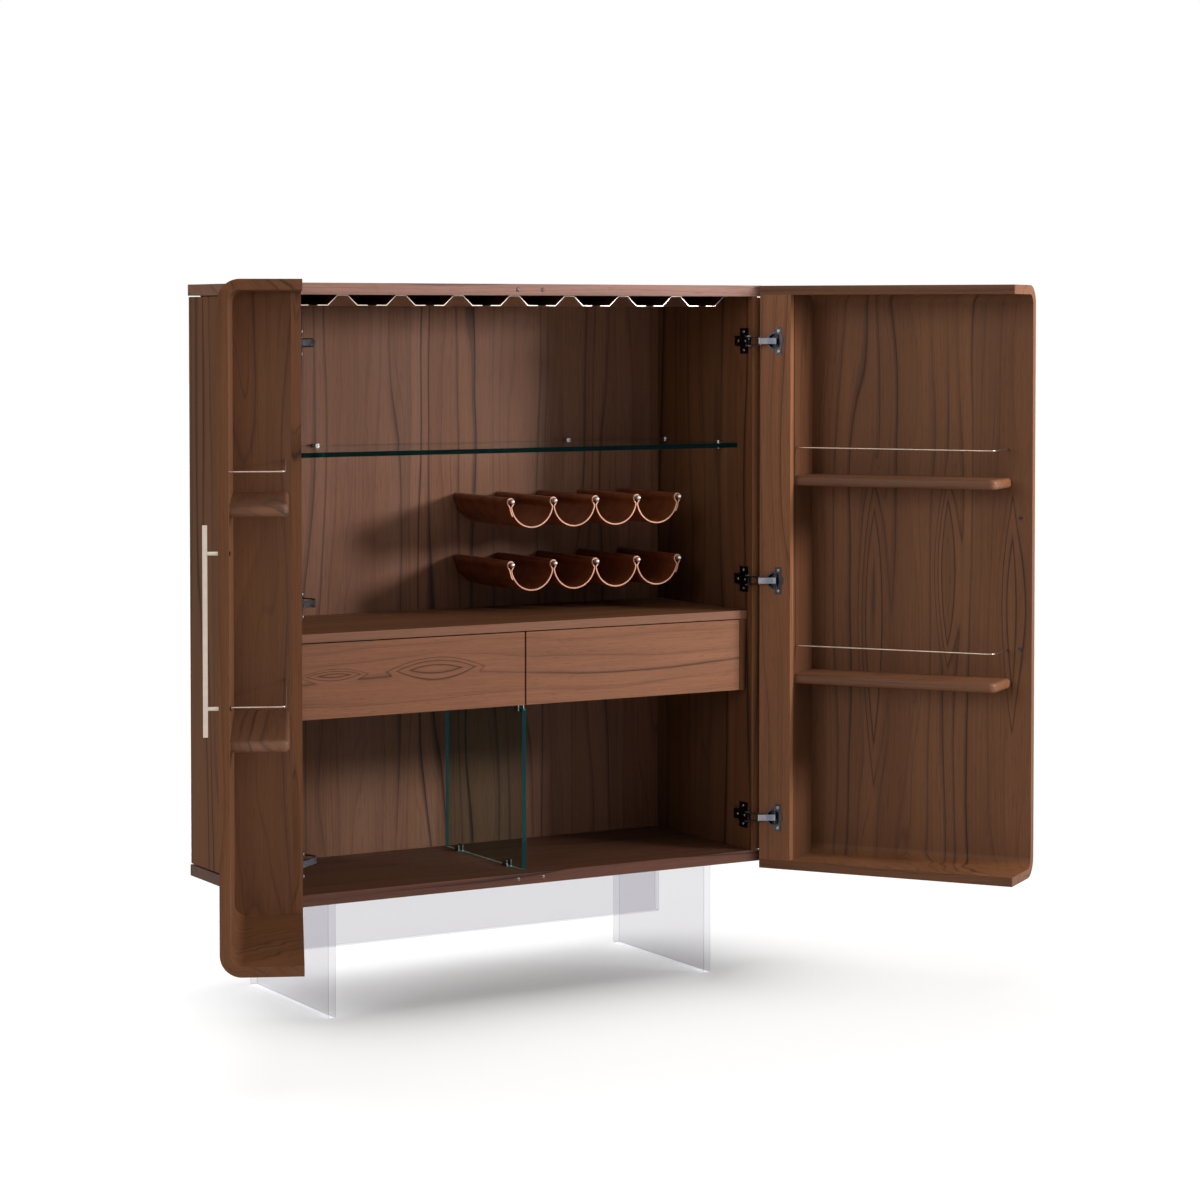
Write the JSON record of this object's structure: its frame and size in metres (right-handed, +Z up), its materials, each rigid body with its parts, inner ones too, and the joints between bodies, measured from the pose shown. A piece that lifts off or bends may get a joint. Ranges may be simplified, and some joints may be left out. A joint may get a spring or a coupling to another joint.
{
  "type": "bar armoire",
  "caption": "Walnut bar cabinet on a clear slab base, with deep pan doors that carry bins, stemware rails, glass shelf, leather wine slings and drawers over an open bay.",
  "frame": {"origin": "on the floor, under the middle of the carcass in width and depth", "axes": "+Z up, +X to the right of someone facing the open cabinet, the front looks along -Y"},
  "size_m": [1.9937, 1.0197, 1.516],
  "materials": {
    "walnut": "satin walnut veneer",
    "clear_acrylic": "polished clear slab",
    "clear_glass": "clear, with a dark green-blue edge",
    "saddle_leather": "dark saddle leather with raw edges",
    "champagne_metal": "satin champagne plating",
    "polished_metal": "polished",
    "dark_nickel": "black nickel",
    "bright_nickel": "bright nickel",
    "runner_steel": "zinc plated",
    "black_screw": "black oxide",
    "latch_plastic": "moulded",
    "clear_bumper": "clear soft dome"
  },
  "bodies": {
    "carcass": {"top_panel": "walnut", "bottom_panel": "walnut", "left_side_panel": "walnut", "right_side_panel": "walnut", "back_panel": "walnut", "stemware_rails": "champagne_metal", "glass_shelf": "clear_glass", "shelf_supports": "polished_metal", "counter": "walnut", "drawer_bank_uprights": "walnut", "drawer_bank_floor": "walnut", "glass_divider": "clear_glass", "divider_clips": "polished_metal", "upper_wine_sling": "saddle_leather", "lower_wine_sling": "saddle_leather", "sling_rods": "polished_metal", "hinge_arms": "dark_nickel", "door_bumpers": "clear_bumper", "left_leg": "clear_acrylic", "right_leg": "clear_acrylic", "leg_stretcher": "clear_acrylic", "runner_rails": "runner_steel", "latch_housings": "latch_plastic"},
    "left_door": {"left_door_shell": "walnut", "left_door_end_board": "walnut", "left_door_hinge_stile": "walnut", "left_door_stile_return": "walnut", "left_door_shelves": "walnut", "left_door_gallery_rails": "champagne_metal", "left_door_handle": "champagne_metal", "left_door_handle_screws": "black_screw", "left_door_hinge_cups": "dark_nickel"},
    "left_inner_links": {"left_hinge_inner_links": "dark_nickel"},
    "left_outer_links": {"left_hinge_outer_links": "bright_nickel"},
    "left_drawer": {"left_drawer_front": "walnut", "left_drawer_sides": "walnut", "left_drawer_back": "walnut", "left_drawer_bottom": "walnut", "left_drawer_slides": "runner_steel"},
    "left_carriers": {"left_runner_carriers": "runner_steel"},
    "left_plunger": {"left_latch_plunger": "latch_plastic"},
    "right_door": {"right_door_shell": "walnut", "right_door_end_board": "walnut", "right_door_hinge_stile": "walnut", "right_door_stile_return": "walnut", "right_door_shelves": "walnut", "right_door_gallery_rails": "champagne_metal", "right_door_handle": "champagne_metal", "right_door_handle_screws": "black_screw", "right_door_hinge_cups": "dark_nickel"},
    "right_inner_links": {"right_hinge_inner_links": "dark_nickel"},
    "right_outer_links": {"right_hinge_outer_links": "bright_nickel"},
    "right_drawer": {"right_drawer_front": "walnut", "right_drawer_sides": "walnut", "right_drawer_back": "walnut", "right_drawer_bottom": "walnut", "right_drawer_slides": "runner_steel"},
    "right_carriers": {"right_runner_carriers": "runner_steel"},
    "right_plunger": {"right_latch_plunger": "latch_plastic"}
  },
  "joints": [
    {"name": "left_door_swing", "type": "hinge", "parent": "carcass", "child": "left_door", "pos_m": [-0.5726, -0.2587, 0.87125], "axis": [0, 0, -1], "range_deg": [-114.6, 5.4]},
    {"name": "left_inner_link_turn", "type": "hinge", "parent": "carcass", "child": "left_inner_links", "pos_m": [-0.5286, -0.225, 0.87125], "axis": [0, 0, -1], "range_deg": [-115.1, 5.9]},
    {"name": "left_outer_link_turn", "type": "hinge", "parent": "left_inner_links", "child": "left_outer_links", "pos_m": [-0.51771, -0.25814, 0.87125], "axis": [0, 0, -1], "range_deg": [-5.9, 115.1]},
    {"name": "left_drawer_slide", "type": "slide", "parent": "carcass", "child": "left_drawer", "axis": [0, -1, 0], "range_m": [0, 0.29]},
    {"name": "left_carrier_slide", "type": "slide", "parent": "carcass", "child": "left_carriers", "axis": [0, -1, 0], "range_m": [0, 0.145]},
    {"name": "left_latch_press", "type": "slide", "parent": "carcass", "child": "left_plunger", "axis": [0, 1, 0], "range_m": [0, 0.003], "stiffness_N_per_m": 200, "springref_m": -0.004},
    {"name": "right_door_swing", "type": "hinge", "parent": "carcass", "child": "right_door", "pos_m": [0.58, -0.24, 0.87125], "axis": [0, 0, 1], "range_deg": [-125, 5]},
    {"name": "right_inner_link_turn", "type": "hinge", "parent": "carcass", "child": "right_inner_links", "pos_m": [0.548, -0.225, 0.87125], "axis": [0, 0, 1], "range_deg": [-125.5, 5.5]},
    {"name": "right_outer_link_turn", "type": "hinge", "parent": "right_inner_links", "child": "right_outer_links", "pos_m": [0.56283, -0.2549, 0.87125], "axis": [0, 0, 1], "range_deg": [-5.5, 125.5]},
    {"name": "right_drawer_slide", "type": "slide", "parent": "carcass", "child": "right_drawer", "axis": [0, -1, 0], "range_m": [0, 0.29]},
    {"name": "right_carrier_slide", "type": "slide", "parent": "carcass", "child": "right_carriers", "axis": [0, -1, 0], "range_m": [0, 0.145]},
    {"name": "right_latch_press", "type": "slide", "parent": "carcass", "child": "right_plunger", "axis": [0, 1, 0], "range_m": [0, 0.003], "stiffness_N_per_m": 200, "springref_m": -0.004}
  ],
  "couplings": [
    {"joint": "left_inner_link_turn", "follows": "left_door_swing", "ratio": 1},
    {"joint": "left_outer_link_turn", "follows": "left_door_swing", "ratio": -1},
    {"joint": "left_carrier_slide", "follows": "left_drawer_slide", "ratio": 0.5},
    {"joint": "right_inner_link_turn", "follows": "right_door_swing", "ratio": 1},
    {"joint": "right_outer_link_turn", "follows": "right_door_swing", "ratio": -1},
    {"joint": "right_carrier_slide", "follows": "right_drawer_slide", "ratio": 0.5}
  ]
}
